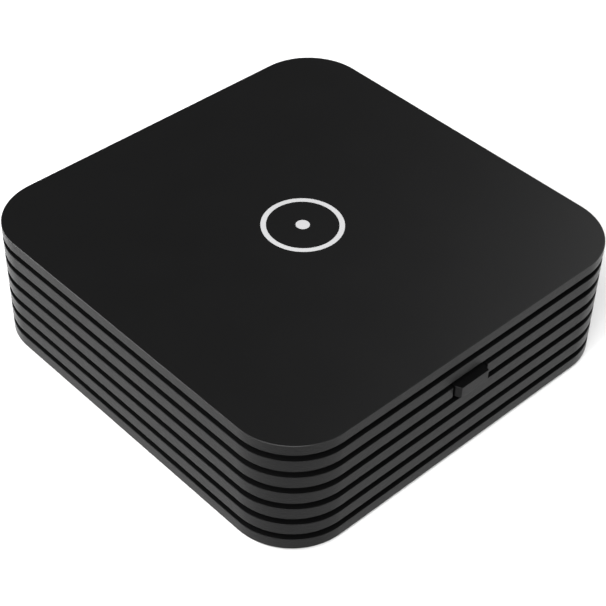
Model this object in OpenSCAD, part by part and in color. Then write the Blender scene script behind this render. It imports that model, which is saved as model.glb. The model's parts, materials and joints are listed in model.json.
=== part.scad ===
// Square set-top media player: a ribbed casing, its boards, its sockets and its controls.
// Millimetres, +Z up. The origin is the centre of the base, on the surface that the feet stand on.
// The front, with the power button, faces -Y. The sockets are in panels at +Y and +X.

/* [Casing] */
// Width and depth of the square casing
case_w = 110; // [110:0.5:112]
// Radius of the casing's four upright corners
corner_r = 15.7; // [15:0.1:17]
// Height of the top face above the surface that the feet stand on
case_h = 33.3; // [33.3:0.1:34.5]
// Height of the casing's underside above that surface
foot_drop = 0.8; // [0.6:0.1:1]
// Thickness of the flat top and bottom walls
plate_t = 2; // [1.8:0.1:2.2]
// Thickness of the upright wall behind the grooves
wall_t = 1.4; // [1.2:0.1:1.5]
// Radius of the casing's outermost edges
edge_r = 0.25; // [0.15:0.05:0.8]

/* [Ribs] */
// Height of the uppermost rib
top_rib_h = 2.81; // [2.7:0.01:2.9]
// Height of each groove between two ribs
groove_h = 1.84; // [1.7:0.01:1.9]
// Distance from each groove to the next
rib_pitch = 4.965; // [4.9:0.005:5]
// Depth of the grooves
groove_depth = 1.4; // [1.2:0.1:1.5]
// Chamfer along the ribs' edges
rib_chamfer = 0.15; // [0.1:0.05:0.4]

/* [Power button] */
// Width of the button where it comes out of its rib
button_w = 10; // [9:0.5:13]
// Distance that the button stands out from its rib
button_out = 1.45; // [1:0.05:2]
// Slant of the button's two ends
button_slant = 0.65; // [0.5:0.05:1.5]
// Gap above and below the button, and behind the wall in front of its flange
button_gap = 0.25; // [0.1:0.05:0.3]
// Gap at the button's two ends
button_end_gap = 0.55; // [0.2:0.05:0.6]

/* [Top mark] */
// Outer radius of the ring
mark_r = 10; // [6:0.5:14]
// Width of the ring's line
mark_line = 1.3; // [0.8:0.1:2]
// Radius of the dot
mark_dot_r = 1.7; // [1:0.1:3]
// Thickness of the inlay
mark_t = 0.3; // [0.2:0.1:0.5]

/* [Boards] */
// Height of the main board's upper face above the surface that the feet stand on
board_top = 9.4; // [9.3:0.1:9.6]
// Thickness of the main board
board_t = 1.6; // [1:0.1:1.6]
// Thickness of the front board
front_board_t = 1.2; // [1:0.1:1.6]

/* [Sockets] */
// Width of the opening for the rear panel
rear_panel_w = 74; // [74:0.5:76]
// Width of the opening for the side panel
side_panel_w = 56; // [52:0.5:58]
// Gap around each socket where it comes through a panel
socket_gap = 0.15; // [0.1:0.05:0.2]
// Radius of the power inlet's pin
dc_pin_r = 1; // [1:0.05:1.25]
// Radius of the audio jack's bore
av_bore_r = 1.8; // [1.75:0.01:1.85]

/* [Feet and screws] */
// Distance of each foot and casing screw from the centre, along X and along Y
screw_place = 43; // [42:0.5:44]
// Radius of a foot
foot_r = 6; // [5:0.5:6.5]
// Radius of a casing screw's thread
screw_r = 1.3; // [1.2:0.05:1.4]

/* [Hidden] */
$fn = 64;

plastic_black = [0.06, 0.06, 0.065];
mark_grey = [0.72, 0.73, 0.74];
rubber_black = [0.04, 0.04, 0.04];
label_grey = [0.5, 0.5, 0.52];
board_green = [0.05, 0.24, 0.14];
chip_black = [0.09, 0.09, 0.1];
tin_grey = [0.7, 0.71, 0.73];
gold = [0.85, 0.65, 0.25];
steel = [0.55, 0.56, 0.58];
aluminium = [0.75, 0.76, 0.78];

half_w = case_w / 2;
case_bottom = foot_drop;
floor_z = case_bottom + plate_t;
ceiling_z = case_h - plate_t;
groove_count = 6;
// Planes of the groove floors and of the upright wall's inner face, out from the centre
groove_plane = half_w - groove_depth;
inner_plane = groove_plane - wall_t;
inner_inset = groove_depth + wall_t;

// Heights of groove number i, counted from 0 at the top
function groove_top(i) = case_h - top_rib_h - i * rib_pitch;
function groove_bottom(i) = groove_top(i) - groove_h;

top_seam = groove_top(0);
bottom_seam = groove_bottom(groove_count - 1);

// The covers' lips stand inside the upright wall and centre it
lip_gap = 0.15;
lip_t = 1.25;
lip_h = 2.2;
lip_outer = inner_inset + lip_gap;
lip_inner = lip_outer + lip_t;
// A cover's rim and its flat plate overlap in this band
rim_w = 7;
plate_inset = 6;

// Casing screws and feet
corner_signs = [[-1, -1], [1, -1], [-1, 1], [1, 1]];
foot_recess = 0.8;
foot_gap = 0.1;
well_r = 4.2;
well_top = 7;
screw_head_r = 2.6;
screw_head_h = 1.6;
screw_head_gap = 0.3;
screw_seat_z = 4.2;
screw_hole_r = screw_r + 0.2;
screw_pilot_r = screw_r - 0.2;
screw_tip_z = 15;
pilot_top = 17;
boss_r = 3.2;

// Main board
board_bottom = board_top - board_t;
board_x = 50;
board_front = 43;
board_rear = 50;
board_notch = 37;
board_screw_spots = [[-44, -32], [44, -32], [-44, 30], [44, 30]];
board_screw_r = 1;
board_screw_bite = 0.15;
board_screw_head = [2.4, 1.4];
board_screw_reach = 3.5;
standoff_r = 3;

// Panels
panel_gap = 0.1;
flange_t = 1.4;
flange_over = 1.6;
panel_bottom = groove_bottom(4);
rear_panel_top = groove_bottom(1);
side_panel_top = groove_bottom(2);

// Rear sockets, by their centres along X
dc_x = 29;
ethernet_x = 12.5;
hdmi_x = -6;
optical_x = -21.5;
av_x = -32.2;
// Side sockets, by their centres along Y
usb_rear_y = 16;
usb_front_y = -2;
card_y = -19;

// A round jack's body starts just behind the panel's flange, and its nose fills a hole in the panel
jack_body_from = wall_t + flange_t + panel_gap;

// Power inlet: a block with a round nose
dc_w = 9;
dc_h = 11;
dc_axis = 6.5;
dc_nose_r = 4;
dc_bore_r = 3.1;
dc_depth = 16.8;
dc_bore_depth = 11.5;
dc_pin_recess = 1;
dc_stub_r = 0.7;

// Ethernet jack
ethernet_w = 16;
ethernet_h = 13.5;
ethernet_depth = 21;
ethernet_cavity = [11.9, 14, 8.4];
ethernet_cavity_z = 2.9;
ethernet_latch = [6.2, 14, 2.2];
ethernet_contact_count = 8;
ethernet_contact_pitch = 1.02;

// HDMI port
hdmi_w = 14.9;
hdmi_h = 5.4;
hdmi_foot_w = 10.6;
hdmi_wall = 0.4;
hdmi_depth = 11.5;
hdmi_lift = 0.2;
hdmi_block = 4;
hdmi_tongue_size = [11.9, 10.7, 1.2];
hdmi_tongue_drop = 0.3;

// Optical port: its shutter hangs from a pin and swings in and up, into a pocket
optical_w = 10.4;
optical_h = 12;
optical_depth = 13.3;
optical_mouth_w = 8.2;
optical_mouth_low = 1.2;
optical_mouth_high = 9.2;
optical_lip = 0.8;
optical_axis_in = 1.7;
optical_axis_up = 10.05;
optical_pocket_top = 11;
optical_pocket_depth = 10.8;
optical_lens_r = 1.6;
optical_lens_t = 1.2;
shutter_w = 7.9;
shutter_t = 0.9;
shutter_length = 8.65;
shutter_barrel_r = 0.75;
shutter_pin_r = 0.4;
shutter_bore_r = 0.45;

// Audio jack
av_w = 6.6;
av_h = 6.4;
av_axis = 3.3;
av_nose_r = 2.9;
av_depth = 13.5;
av_bore_depth = 12.5;

// USB ports
usb_w = 13.1;
usb_h = 5.7;
usb_wall = 0.3;
usb_depth = 14;
usb_lift = 0.3;
usb_block = 3;
usb_tongue = [11.1, 9.5, 1.8];
usb_tongue_gap = 0.7;

// Card socket
card_w = 14;
card_h = 1.9;
card_depth = 15;
card_slot = [11.6, 13, 1];
card_slot_z = 0.5;

// Button, its switch and the front board
button_low = groove_top(2);
button_high = groove_bottom(1);
button_mid = (button_low + button_high) / 2;
button_flange = [14, 0.8, 5.6];
button_flange_y = -inner_plane + button_gap;
front_board_y = -46.6;
front_board_left = -12;
front_board_right = 34;
front_board_low = 10.5;
front_board_high = 27.5;
post = [4, 6, 21];
post_slot_gap = 0.1;
post_grip = 1.4;
switch_size = [6, 3.4, 6];
switch_plunger_r = 1.75;
switch_plunger_gap = 0.05;
switch_hole_depth = 2.6;
switch_face_y = front_board_y - switch_size[1];
switch_contact_gap = 0.05;
switch_plunger_front = button_flange_y + button_flange[1] + switch_contact_gap;
switch_plunger_back = switch_face_y + 2;

// Window in a groove of the front, with the receiver and the lamp behind it
window_left = 14;
window_right = 30;
window_groove = 3;
window_mid = (groove_top(window_groove) + groove_bottom(window_groove)) / 2;
window_flange_over = 1.2;
window_flange_t = 0.8;
receiver_x = 19;
lamp_x = 26;

// Flat cable between the two boards
cable_x = 4;
cable_w = 8;
cable_t = 0.3;
cable_bend_r = 2;
cable_exit_z = 14.5;
cable_socket_w = 10;
cable_socket_deep = 2.5;
cable_socket_h = 3;
cable_drop_y = -40.4;
cable_socket_top = board_top + 2.5;
cable_seat = 1.2;

// Heat sink
sink_x = 0;
sink_y = 4;
sink_w = 44;
sink_base_t = 2;
sink_fin_h = 7;
sink_fin_t = 1.2;
sink_fin_count = 11;
chip_h = 1.4;
chip_w = 17;
pad_t = 0.8;
sink_z = board_top + chip_h + pad_t;
sink_pin_spots = [[-18, 22], [18, -14]];
sink_pin_r = 1.4;
sink_pin_gap = 0.2;
sink_pin_head = [2.8, 1.2];
sink_pin_well_r = 4.2;
sink_spring_h = 4.2;
sink_spring_r = 2.1;
sink_spring_wire_r = 0.25;
sink_spring_turns = 5;

// Reset switch, under the main board above a pinhole
reset_spot = [24, -30];
pinhole_r = 1;
reset_size = [5, 4, 1.6];
reset_plunger_r = 0.75;
reset_hole_r = 0.8;
reset_hole_depth = 1.45;
reset_plunger_low = 5.5;
reset_plunger_high = 7.3;

// Wireless parts
wifi_spot = [-36, -20];
wifi_board = [12, 12, 0.8];
wifi_can = [9, 9, 1.6];
antenna_size = [28, 0.3, 9];
antenna_z = 14;
antenna_left_y = -6;
antenna_front_x = -24;
coax_r = 0.5;
coax_plug_r = 1;
coax_plug_h = 0.9;
coax_steps = 14;

// Vents and label on the underside
vent_count = 9;
vent_pitch = 5;
vent_size = [2, 24];
vent_y = 18;
label_size = [52, 24, 0.2];
label_y = -14;

// ---- Shared shapes ----

module round_square(w, r) {
    square([w - 2 * r, w], center = true);
    square([w, w - 2 * r], center = true);
    for (s = corner_signs)
        translate(s * (w / 2 - r)) circle(r);
}

// A flat plate with the casing's outline, drawn in by inset
module case_plate(inset, low, high) {
    translate([0, 0, low])
        linear_extrude(high - low)
            round_square(case_w - 2 * inset, corner_r - inset);
}

// A profile taken once around the casing. Its X is the distance in from the outer face, its Y is up.
module around_case(points) {
    straight = case_w - 2 * corner_r;
    for (turn = [0 : 90 : 270])
        rotate(turn) {
            translate([0, -half_w, 0])
                rotate([90, 0, 90])
                    linear_extrude(straight, center = true)
                        polygon(points);
            translate([straight / 2, -straight / 2, 0])
                rotate(-90)
                    rotate_extrude(angle = 90)
                        translate([corner_r, 0])
                            mirror([1, 0])
                                polygon(points);
        }
}

// A block that is centred along X and starts at the given Y and Z
module block(size, at = [0, 0, 0]) {
    translate(at + [-size[0] / 2, 0, 0]) cube(size);
}

module at_corners() {
    for (s = corner_signs)
        translate([s[0] * screw_place, s[1] * screw_place, 0]) children();
}

// A prism that runs back from a socket's face at Y = 0. Its outline's X is across and its Y is up.
module behind_face(depth, from = 0) {
    translate([0, -from, 0])
        rotate([90, 0, 0])
            linear_extrude(depth)
                children();
}

// A round bar or hole that runs back from a socket's face
module rod_behind_face(r, depth, up, from = 0) {
    translate([0, -from, up]) rotate([90, 0, 0]) cylinder(r = r, h = depth);
}

module on_rear(x) {
    translate([x, groove_plane, board_top]) children();
}

module on_side(y) {
    translate([groove_plane, y, board_top]) rotate(-90) children();
}

// A round tube along a path. No stretch of the path runs along the direction across.
function unit(v) = v / norm(v);

module tube(path, r, sides, across) {
    last = len(path) - 1;
    rings = [
        for (i = [0 : last])
            let (
                along = unit(path[min(i + 1, last)] - path[max(i - 1, 0)]),
                u = unit(cross(along, across)),
                v = cross(along, u)
            )
            for (k = [0 : sides - 1])
                path[i] + r * (cos(360 * k / sides) * u + sin(360 * k / sides) * v)
    ];
    skin = [
        for (i = [0 : last - 1])
            for (k = [0 : sides - 1])
                let (next = (k + 1) % sides, a = i * sides, b = a + sides)
                each [[a + k, b + k, b + next], [a + k, b + next, a + next]]
    ];
    ends = [
        [for (k = [0 : sides - 1]) k],
        [for (k = [sides - 1 : -1 : 0]) last * sides + k]
    ];
    polyhedron(rings, concat(skin, ends));
}

// Points along a cubic curve between two ends with two handles
function curve(a, b, c, d, steps) = [
    for (i = [0 : steps])
        let (t = i / steps, s = 1 - t)
        s * s * s * a + 3 * s * s * t * b + 3 * s * t * t * c + t * t * t * d
];

// ---- Casing ----

function rib_points(low, high) = [
    [groove_depth, low],
    [rib_chamfer, low],
    [0, low + rib_chamfer],
    [0, high - rib_chamfer],
    [rib_chamfer, high],
    [groove_depth, high]
];

// The rounded edge between a side and a flat face, from the side at height z, going up or down
function edge_points(z, up) = [
    for (a = [0 : 22.5 : 90])
        [edge_r * (1 - cos(a)), z + up * edge_r * sin(a)]
];

module mark_shapes() {
    difference() {
        circle(mark_r);
        circle(mark_r - mark_line);
    }
    circle(mark_dot_r);
}

module top_cover() {
    color(plastic_black)
        difference() {
            union() {
                around_case(concat(
                    [[lip_outer, top_seam], [rib_chamfer, top_seam], [0, top_seam + rib_chamfer]],
                    edge_points(case_h - edge_r, 1),
                    [
                        [rim_w, case_h],
                        [rim_w, ceiling_z],
                        [lip_inner, ceiling_z],
                        [lip_inner, top_seam - lip_h],
                        [lip_outer, top_seam - lip_h]
                    ]
                ));
                case_plate(plate_inset, ceiling_z, case_h);
                at_corners()
                    translate([0, 0, well_top])
                        cylinder(r = boss_r, h = ceiling_z - well_top + plate_t / 2);
            }
            at_corners()
                translate([0, 0, well_top - 1])
                    cylinder(r = screw_pilot_r, h = pilot_top - well_top + 1);
            translate([0, 0, case_h - mark_t])
                linear_extrude(mark_t + 1)
                    mark_shapes();
        }
}

module top_mark() {
    color(mark_grey)
        translate([0, 0, case_h - mark_t])
            linear_extrude(mark_t)
                mark_shapes();
}

module rib_frame() {
    wall_cut = inner_inset + 2;
    color(plastic_black)
        difference() {
            around_case(concat(
                [[inner_inset, bottom_seam], [groove_depth, bottom_seam]],
                [
                    for (i = [groove_count - 1 : -1 : 1])
                        each rib_points(groove_top(i), groove_bottom(i - 1))
                ],
                [[groove_depth, top_seam], [inner_inset, top_seam]]
            ));
            block(
                [rear_panel_w, wall_cut, rear_panel_top - panel_bottom],
                [0, inner_plane - 1, panel_bottom]
            );
            rotate(-90)
                block(
                    [side_panel_w, wall_cut, side_panel_top - panel_bottom],
                    [0, inner_plane - 1, panel_bottom]
                );
            block(
                [button_w + 2 * button_end_gap, wall_cut, button_high - button_low + 2 * button_gap],
                [0, -half_w - 1, button_low - button_gap]
            );
            translate([window_left, -half_w - 1, groove_bottom(window_groove) + panel_gap])
                cube([window_right - window_left, wall_cut, groove_h - 2 * panel_gap]);
        }
}

module post_for_front_board(x, slot_x) {
    slot_y = front_board_y - post_slot_gap;
    slot_t = front_board_t + 2 * post_slot_gap;
    difference() {
        block(post, [x, front_board_y + front_board_t / 2 - post[1] / 2, floor_z]);
        block([post_grip + 2, slot_t, post[2]], [slot_x, slot_y, front_board_low]);
    }
}

module bottom_cover() {
    lip_top = bottom_seam + lip_h;
    post_shift = post[0] / 2 - post_grip;
    slot_shift = post_grip / 2 - 1;
    color(plastic_black)
        difference() {
            union() {
                around_case(concat(
                    [[lip_outer, bottom_seam], [rib_chamfer, bottom_seam], [0, bottom_seam - rib_chamfer]],
                    edge_points(case_bottom + edge_r, -1),
                    [
                        [rim_w, case_bottom],
                        [rim_w, floor_z],
                        [lip_inner, floor_z],
                        [lip_inner, lip_top],
                        [lip_outer, lip_top]
                    ]
                ));
                case_plate(plate_inset, case_bottom, floor_z);
                at_corners()
                    translate([0, 0, floor_z - plate_t / 2])
                        cylinder(r = well_r, h = well_top - floor_z + plate_t / 2);
                for (spot = board_screw_spots)
                    translate([spot[0], spot[1], floor_z - plate_t / 2])
                        cylinder(r = standoff_r, h = board_bottom - floor_z + plate_t / 2);
                post_for_front_board(front_board_left - post_shift, front_board_left - slot_shift);
                post_for_front_board(front_board_right + post_shift, front_board_right + slot_shift);
            }
            at_corners() {
                translate([0, 0, case_bottom - 1])
                    cylinder(r = foot_r, h = foot_recess + 1);
                translate([0, 0, case_bottom])
                    cylinder(r = screw_head_r + screw_head_gap, h = screw_seat_z - case_bottom);
                cylinder(r = screw_hole_r, h = well_top + 1);
            }
            for (spot = board_screw_spots)
                translate([spot[0], spot[1], floor_z])
                    cylinder(r = board_screw_r - board_screw_bite, h = board_bottom);
            for (i = [0 : vent_count - 1])
                block(
                    [vent_size[0], vent_size[1], plate_t + 2],
                    [(i - (vent_count - 1) / 2) * vent_pitch, vent_y - vent_size[1] / 2, case_bottom - 1]
                );
            block(label_size + [2 * panel_gap, 2 * panel_gap, 1], [
                0, label_y - label_size[1] / 2 - panel_gap, case_bottom - 1
            ]);
            translate([reset_spot[0], reset_spot[1], 0]) cylinder(r = pinhole_r, h = floor_z + 1);
        }
}

// A panel that fills its opening in the wall, with a flange behind the wall all round.
// It faces +Y, with its face at the plane of the groove floors.
module panel(w, top) {
    h = top - panel_bottom;
    difference() {
        union() {
            block(
                [w - 2 * panel_gap, wall_t + flange_t / 2, h - 2 * panel_gap],
                [0, inner_plane - flange_t / 2, panel_bottom + panel_gap]
            );
            block(
                [w + 2 * flange_over, flange_t, h + 2 * flange_over],
                [0, inner_plane - flange_t, panel_bottom - flange_over]
            );
        }
        children();
    }
}

// A hole through a panel for a socket, given as an outline around the socket's centre line
module panel_hole(across) {
    translate([across, groove_plane + 1, board_top])
        rotate([90, 0, 0])
            linear_extrude(wall_t + flange_t + 2)
                children();
}

module socket_rectangle(w, h, lift = 0, extra = 0) {
    translate([-w / 2 - extra, lift - extra]) square([w + 2 * extra, h + 2 * extra]);
}

module hdmi_outline(extra = 0) {
    high = hdmi_lift + hdmi_h;
    polygon([
        [-hdmi_w / 2 - extra, high + extra],
        [hdmi_w / 2 + extra, high + extra],
        [hdmi_w / 2 + extra, high - hdmi_h / 2 - extra / 2],
        [hdmi_foot_w / 2 + extra, hdmi_lift - extra],
        [-hdmi_foot_w / 2 - extra, hdmi_lift - extra],
        [-hdmi_w / 2 - extra, high - hdmi_h / 2 - extra / 2]
    ]);
}

module rear_io_panel() {
    color(plastic_black)
        panel(rear_panel_w, rear_panel_top) {
            panel_hole(dc_x) translate([0, dc_axis]) circle(dc_nose_r + socket_gap);
            panel_hole(ethernet_x) socket_rectangle(ethernet_w, ethernet_h, 0, socket_gap);
            panel_hole(hdmi_x) hdmi_outline(socket_gap);
            panel_hole(optical_x) socket_rectangle(optical_w, optical_h, 0, socket_gap);
            panel_hole(av_x) translate([0, av_axis]) circle(av_nose_r + socket_gap);
        }
}

module side_io_panel() {
    color(plastic_black)
        rotate(-90)
            panel(side_panel_w, side_panel_top) {
                for (y = [usb_rear_y, usb_front_y])
                    panel_hole(-y) socket_rectangle(usb_w, usb_h, usb_lift, socket_gap);
                panel_hole(-card_y) socket_rectangle(card_w, card_h, 0, socket_gap);
            }
}

// ---- Feet, label and screws ----

module foot(s) {
    r = foot_r - foot_gap;
    round_r = foot_drop / 2;
    color(rubber_black)
        translate([s[0] * screw_place, s[1] * screw_place, 0])
            rotate_extrude()
                polygon(concat(
                    [[0, 0]],
                    [for (a = [-90 : 22.5 : 0]) [r - round_r + round_r * cos(a), round_r + round_r * sin(a)]],
                    [[r, case_bottom + foot_recess], [0, case_bottom + foot_recess]]
                ));
}

module foot_front_left() { foot([-1, -1]); }
module foot_front_right() { foot([1, -1]); }
module foot_rear_left() { foot([-1, 1]); }
module foot_rear_right() { foot([1, 1]); }

module rating_label() {
    color(label_grey) block(label_size, [0, label_y - label_size[1] / 2, case_bottom]);
}

// A screw whose head is below its thread, with a cross cut into the head
module screw(head_r, head_h, thread_r, thread_h) {
    cross_w = head_r / 4;
    difference() {
        union() {
            translate([0, 0, -head_h]) cylinder(r = head_r, h = head_h);
            cylinder(r = thread_r, h = thread_h);
        }
        for (turn = [0, 90])
            rotate(turn)
                translate([-head_r * 0.6, -cross_w / 2, -head_h - 1])
                    cube([head_r * 1.2, cross_w, head_h / 2 + 1]);
    }
}

module case_screws() {
    color(steel)
        at_corners()
            translate([0, 0, screw_seat_z])
                screw(screw_head_r, screw_head_h, screw_r, screw_tip_z - screw_seat_z);
}

module board_screws() {
    color(steel)
        for (spot = board_screw_spots)
            translate([spot[0], spot[1], board_top])
                mirror([0, 0, 1])
                    screw(
                        board_screw_head[0], board_screw_head[1], board_screw_r, board_t + board_screw_reach
                    );
}

// ---- Main board and what is on it ----

module main_board() {
    color(board_green)
        difference() {
            translate([-board_x, -board_front, board_bottom])
                cube([2 * board_x, board_front + board_rear, board_t]);
            for (s = corner_signs)
                translate([s[0] * board_notch, s[1] * board_notch, board_bottom - 1])
                    mirror([s[0] < 0 ? 1 : 0, 0, 0])
                        mirror([0, s[1] < 0 ? 1 : 0, 0])
                            cube([20, 20, board_t + 2]);
            for (spot = board_screw_spots)
                translate([spot[0], spot[1], board_bottom - 1])
                    cylinder(r = board_screw_r + 0.2, h = board_t + 2);
            for (spot = sink_pin_spots)
                translate([spot[0], spot[1], board_bottom - 1])
                    cylinder(r = sink_pin_r + sink_pin_gap, h = board_t + 2);
        }
}

// A flat chip, centred on its place on the board
module chip(spot, size) {
    translate([spot[0] - size[0] / 2, spot[1] - size[1] / 2, board_top]) cube(size);
}

module soc_chip() {
    color(chip_black) chip([sink_x, sink_y], [chip_w, chip_w, chip_h]);
}

module memory_chips() {
    color(chip_black)
        for (y = [-7, 7])
            chip([sink_x - 15.5, sink_y + y], [8, 11, 1]);
}

module flash_chip() {
    color(chip_black) chip([sink_x + 15.5, sink_y], [11.5, 13, 1]);
}

module power_inductors() {
    color(chip_black)
        for (spot = [[29, 18], [30, -22], [-30, 14]])
            chip(spot, [6, 6, 3]);
}

module capacitors() {
    color(aluminium) {
        for (x = [27, 34.5])
            translate([x, 30, board_top]) cylinder(r = 3.15, h = 8);
        for (spot = [[30, 6], [30, -8], [-30, 30], [-30, 23]])
            translate([spot[0], spot[1], board_top]) cylinder(r = 2, h = 5.4);
    }
}

module crystal() {
    color(tin_grey) chip([-8, -26], [5, 3.2, 1.2]);
}

module wifi_module() {
    color(board_green) chip(wifi_spot, wifi_board);
}

module wifi_shield() {
    color(tin_grey)
        translate([0, 0, wifi_board[2]])
            chip(wifi_spot + [-1.2, 1.2], wifi_can);
}

// Where each antenna cable starts on the radio board, and where it ends on its antenna
coax_starts = [
    [wifi_spot[0] + 4.7, wifi_spot[1] + 3, board_top + wifi_board[2]],
    [wifi_spot[0] + 4.7, wifi_spot[1] - 4.7, board_top + wifi_board[2]]
];
coax_ends = [
    [-inner_plane + antenna_size[1] + coax_r + 0.1, antenna_left_y, antenna_z + 4.5],
    [antenna_front_x, -inner_plane + antenna_size[1] + coax_r + 0.1, antenna_z + 4.5]
];

module antenna_plugs() {
    color(gold)
        for (start = coax_starts)
            translate(start) cylinder(r = coax_plug_r, h = coax_plug_h);
}

module antenna_cables() {
    color("dimgray")
        for (i = [0, 1]) {
            start = coax_starts[i] + [0, 0, coax_plug_h];
            tube(
                curve(start, start + [0, 0, 8], coax_ends[i] + [3, 3, -5], coax_ends[i], coax_steps),
                coax_r, 8, [1, -1, 0.2]
            );
        }
}

module wifi_antenna_left() {
    color(gold)
        translate([-inner_plane, antenna_left_y - antenna_size[0] / 2, antenna_z])
            cube([antenna_size[1], antenna_size[0], antenna_size[2]]);
}

module wifi_antenna_front() {
    color(gold)
        translate([antenna_front_x - antenna_size[0] / 2, -inner_plane, antenna_z])
            cube(antenna_size);
}

// ---- Cooling ----

module thermal_pad() {
    color("lightsteelblue")
        translate([0, 0, chip_h])
            chip([sink_x, sink_y], [chip_w, chip_w, pad_t]);
}

module heat_sink() {
    fin_pitch = (sink_w - sink_fin_t) / (sink_fin_count - 1);
    color(aluminium)
        translate([sink_x, sink_y, sink_z])
            difference() {
                union() {
                    block([sink_w, sink_w, sink_base_t], [0, -sink_w / 2, 0]);
                    for (i = [0 : sink_fin_count - 1])
                        translate([-sink_w / 2 + i * fin_pitch, -sink_w / 2, sink_base_t / 2])
                            cube([sink_fin_t, sink_w, sink_base_t / 2 + sink_fin_h]);
                }
                for (spot = sink_pin_spots)
                    translate([spot[0] - sink_x, spot[1] - sink_y, 0]) {
                        translate([0, 0, -1]) cylinder(r = sink_pin_r + sink_pin_gap, h = sink_base_t + 2);
                        translate([0, 0, sink_base_t])
                            cylinder(r = sink_pin_well_r, h = sink_fin_h + 1);
                    }
            }
}

module heat_sink_pins() {
    pin_top = sink_z + sink_base_t + sink_spring_h;
    pin_bottom = board_bottom - 1.6;
    color("white")
        for (spot = sink_pin_spots)
            translate([spot[0], spot[1], 0]) {
                translate([0, 0, pin_bottom]) cylinder(r = sink_pin_r, h = pin_top - pin_bottom + 0.5);
                translate([0, 0, pin_top]) cylinder(r = sink_pin_head[0], h = sink_pin_head[1]);
                translate([0, 0, pin_bottom - 1]) cylinder(r1 = 0.8, r2 = sink_pin_r + 0.4, h = 2.4);
            }
}

module heat_sink_springs() {
    per_turn = 10;
    steps = sink_spring_turns * per_turn;
    rise = sink_spring_h - 2 * sink_spring_wire_r - 0.1;
    color(steel)
        for (spot = sink_pin_spots)
            translate([spot[0], spot[1], sink_z + sink_base_t + sink_spring_wire_r + 0.05])
                tube(
                    [
                        for (i = [0 : steps])
                            let (a = 360 * i / per_turn)
                            [sink_spring_r * cos(a), sink_spring_r * sin(a), rise * i / steps]
                    ],
                    sink_spring_wire_r, 6, [0, 0, 1]
                );
}

// ---- Rear sockets ----

module dc_jack() {
    color(chip_black)
        on_rear(dc_x)
            difference() {
                union() {
                    behind_face(dc_depth - jack_body_from, jack_body_from) socket_rectangle(dc_w, dc_h);
                    rod_behind_face(dc_nose_r, dc_depth / 2, dc_axis);
                }
                rod_behind_face(dc_bore_r, dc_bore_depth + 1, dc_axis, -1);
                rod_behind_face(dc_stub_r, dc_depth, dc_axis, 1);
            }
}

// The pin stands free in the jack's bore, and a thinner stub behind it is held in the jack's body
module dc_jack_pin() {
    color(tin_grey)
        on_rear(dc_x) {
            rod_behind_face(dc_pin_r, dc_bore_depth - dc_pin_recess, dc_axis, dc_pin_recess);
            rod_behind_face(dc_stub_r, dc_depth - dc_pin_recess - 1, dc_axis, dc_pin_recess + 1);
        }
}

module ethernet_jack() {
    color(tin_grey)
        on_rear(ethernet_x)
            difference() {
                behind_face(ethernet_depth) socket_rectangle(ethernet_w, ethernet_h);
                block(
                    ethernet_cavity + [0, 1, 0],
                    [0, -ethernet_cavity[1], ethernet_cavity_z]
                );
                block(
                    ethernet_latch + [0, 1, 1],
                    [0, -ethernet_latch[1], ethernet_cavity_z - ethernet_latch[2]]
                );
            }
}

// Eight springy wires that slope down from the cavity's ceiling towards its back
module ethernet_contacts() {
    wire_t = 0.35;
    ceiling = ethernet_cavity_z + ethernet_cavity[2];
    run = 9;
    drop = 1.2;
    color(gold)
        on_rear(ethernet_x)
            for (i = [0 : ethernet_contact_count - 1])
                translate([
                    (i - (ethernet_contact_count - 1) / 2) * ethernet_contact_pitch - wire_t / 2,
                    -ethernet_cavity[1],
                    0
                ])
                    rotate([90, 0, 90])
                        linear_extrude(wire_t)
                            polygon([
                                [0, ceiling - drop],
                                [run, ceiling - wire_t],
                                [run, ceiling],
                                [0, ceiling - drop + wire_t]
                            ]);
}

module hdmi_shell() {
    color(tin_grey)
        on_rear(hdmi_x)
            difference() {
                behind_face(hdmi_depth) hdmi_outline();
                behind_face(hdmi_depth + 2, -1) hdmi_outline(-hdmi_wall);
            }
}

module hdmi_tongue() {
    color(chip_black)
        on_rear(hdmi_x) {
            behind_face(hdmi_block, hdmi_depth - hdmi_block) hdmi_outline(-hdmi_wall);
            block(
                hdmi_tongue_size,
                [0, -hdmi_depth, hdmi_lift + hdmi_h / 2 - hdmi_tongue_drop]
            );
        }
}

module optical_port() {
    color(chip_black)
        on_rear(optical_x)
            difference() {
                behind_face(optical_depth) socket_rectangle(optical_w, optical_h);
                block(
                    [optical_mouth_w, optical_pocket_depth + 1, optical_mouth_high - optical_mouth_low],
                    [0, -optical_pocket_depth, optical_mouth_low]
                );
                block(
                    [
                        optical_mouth_w,
                        optical_pocket_depth - optical_lip,
                        optical_pocket_top - optical_mouth_low
                    ],
                    [0, -optical_pocket_depth, optical_mouth_low]
                );
                translate([-optical_w / 2 - 1, -optical_axis_in, optical_axis_up])
                    rotate([0, 90, 0])
                        cylinder(r = shutter_pin_r, h = optical_w + 2);
                rod_behind_face(
                    optical_lens_r,
                    optical_lens_t,
                    (optical_mouth_low + optical_mouth_high) / 2,
                    optical_pocket_depth
                );
            }
}

module optical_lens() {
    color("firebrick")
        on_rear(optical_x)
            rod_behind_face(
                optical_lens_r,
                optical_lens_t,
                (optical_mouth_low + optical_mouth_high) / 2,
                optical_pocket_depth
            );
}

// At rest the shutter hangs from its pin and closes the mouth
module optical_shutter() {
    color(chip_black)
        on_rear(optical_x)
            translate([0, -optical_axis_in, optical_axis_up])
                difference() {
                    union() {
                        block([shutter_w, shutter_t, shutter_length], [0, -shutter_t / 2, -shutter_length]);
                        translate([-shutter_w / 2, 0, 0])
                            rotate([0, 90, 0])
                                cylinder(r = shutter_barrel_r, h = shutter_w);
                    }
                    translate([-shutter_w / 2 - 1, 0, 0])
                        rotate([0, 90, 0])
                            cylinder(r = shutter_bore_r, h = shutter_w + 2);
                }
}

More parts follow.
